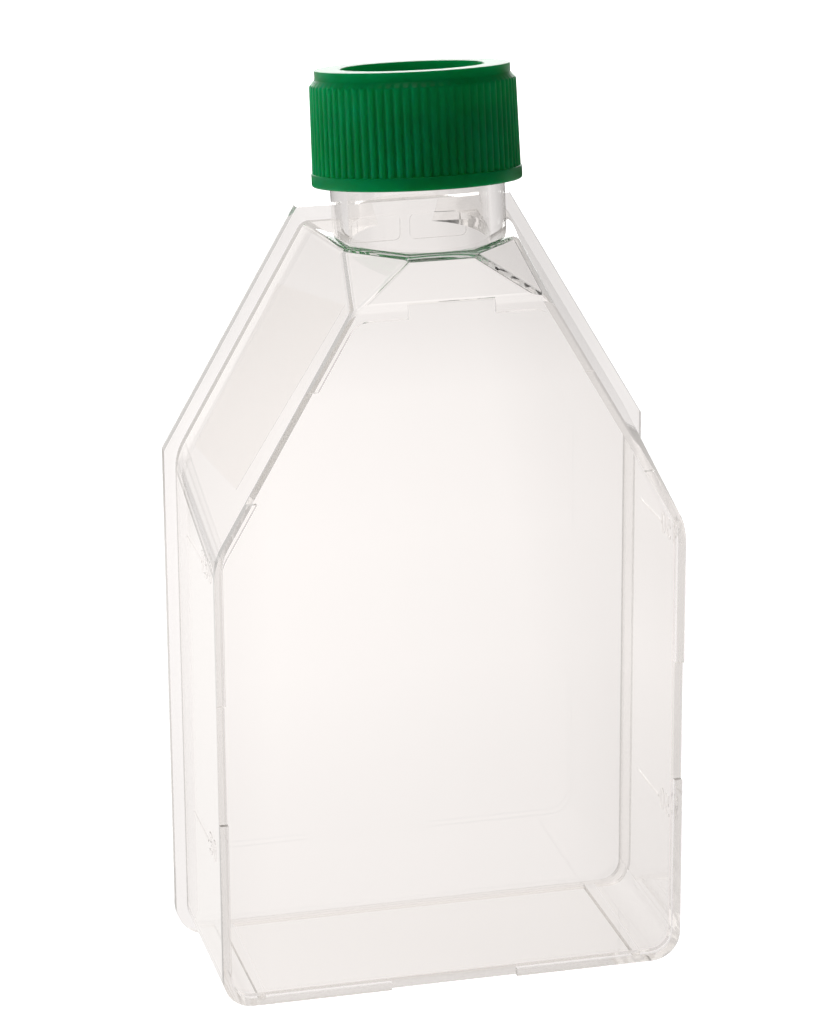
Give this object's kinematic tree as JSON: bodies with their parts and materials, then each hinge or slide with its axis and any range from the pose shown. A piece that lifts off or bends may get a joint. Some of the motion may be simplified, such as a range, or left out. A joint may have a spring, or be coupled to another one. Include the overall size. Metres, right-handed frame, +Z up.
{
  "type": "cell culture flask",
  "caption": "Clear canted-neck cell culture flask with flat growth plate, welded flanged lid, stacking rim and ribbed green vented screw cap.",
  "frame": {"origin": "the middle of the lid's lower edge, on the floor the flask stands on", "axes": "+Z up, -Y out of the growth plate, +Y out of the lid, X across the width"},
  "size_m": [0.084, 0.0428, 0.1573],
  "materials": {
    "tray": "clear polished polystyrene",
    "lid": "clear polished polystyrene",
    "cap": "green polyethylene, satin",
    "vent_membrane": "white hydrophobic membrane, matt"
  },
  "bodies": {
    "flask": {"tray": "tray", "lid": "lid"},
    "vent": {"vent_membrane": "vent_membrane"},
    "cap": {"cap": "cap"}
  },
  "joints": [
    {"name": "cap_lift", "type": "slide", "parent": "flask", "child": "vent", "axis": [0, 0.1633, 0.9866], "range_m": [0, 0.024]},
    {"name": "cap_turn", "type": "hinge", "parent": "vent", "child": "cap", "pos_m": [0, -0.01155, 0.1281], "axis": [0, 0.1633, 0.9866], "range_deg": [0, 2160]}
  ],
  "couplings": [
    {"joint": "cap_lift", "follows": "cap_turn", "m_per_rad": 0.00063661}
  ]
}
